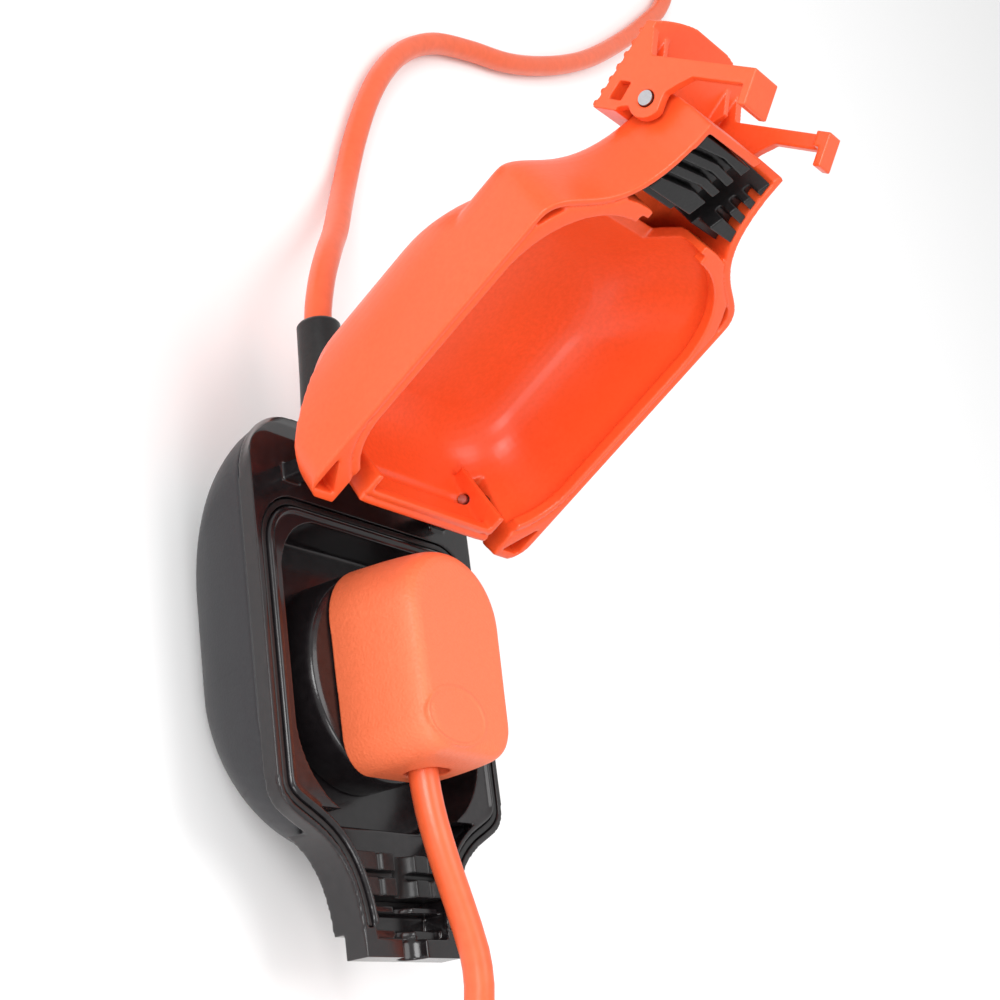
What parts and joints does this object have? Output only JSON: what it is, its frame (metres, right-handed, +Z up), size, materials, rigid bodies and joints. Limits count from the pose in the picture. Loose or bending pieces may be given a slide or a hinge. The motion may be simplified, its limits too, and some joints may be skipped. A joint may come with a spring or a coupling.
{
  "type": "extension cord",
  "caption": "Weatherproof in-line extension cord: a black socket box with a hinged orange lid, cam latch, rubber seals and orange flex, its own fused plug parked inside.",
  "frame": {"origin": "on the flat resting face at the back of the box, on the plane of symmetry, 0.007 m above the middle of the socket face in Y", "axes": "+Z up out of the socket face, +Y towards the hinge end, -Y towards the neck where the latch shuts and the flex leaves, +X to the right"},
  "size_m": [0.5006, 0.6582, 0.1982],
  "materials": {
    "black_shell": "satin, fine texture",
    "black_gloss": "gloss",
    "black_rubber": "matt",
    "orange_shell": "satin gloss",
    "orange_plug": "fine leather grain",
    "orange_flex": "satin",
    "brass": "bright",
    "steel": "bright",
    "white_plastic": "satin",
    "ceramic": "glazed",
    "brown_core": "satin",
    "blue_core": "satin",
    "green_core": "satin"
  },
  "bodies": {
    "box": {"rear_cover": "black_shell", "front_housing": "black_gloss", "rim_gasket": "black_rubber", "neck_seal": "black_rubber", "socket_face": "black_gloss", "shutter": "white_plastic", "neutral_contact": "brass", "live_contact": "brass", "earth_contact": "brass", "neutral_terminal_screw": "steel", "live_terminal_screw": "steel", "earth_terminal_screw": "steel", "contact_carrier": "white_plastic", "carrier_screw_1": "steel", "carrier_screw_2": "steel", "strain_relief": "black_rubber", "live_core": "brown_core", "neutral_core": "blue_core", "earth_core": "green_core", "hinge_pin_left": "steel", "hinge_pin_right": "steel", "plug_body": "orange_plug", "neutral_pin_sleeve": "black_rubber", "neutral_pin": "brass", "live_pin_sleeve": "black_rubber", "live_pin": "brass", "earth_pin": "brass", "fuse": "ceramic", "fuse_carrier": "orange_plug", "supply_flex": "orange_flex", "plug_flex": "orange_flex", "flex_coil": "orange_flex", "coil_tie": "black_rubber", "cover_screw_1": "steel", "cover_screw_2": "steel", "cover_screw_3": "steel", "cover_screw_4": "steel"},
    "lid": {"lid_shell": "orange_shell", "lid_seal": "black_rubber", "latch_pin": "steel"},
    "latch": {"latch_lever": "orange_shell"}
  },
  "joints": [
    {"name": "lid_hinge", "type": "hinge", "parent": "box", "child": "lid", "pos_m": [0, 0.05, 0.054], "axis": [1, 0, 0], "range_deg": [0, 120]},
    {"name": "latch_pivot", "type": "hinge", "parent": "lid", "child": "latch", "pos_m": [0, 0.11896, 0.16545], "axis": [1, 0, 0], "range_deg": [0, 28]}
  ]
}
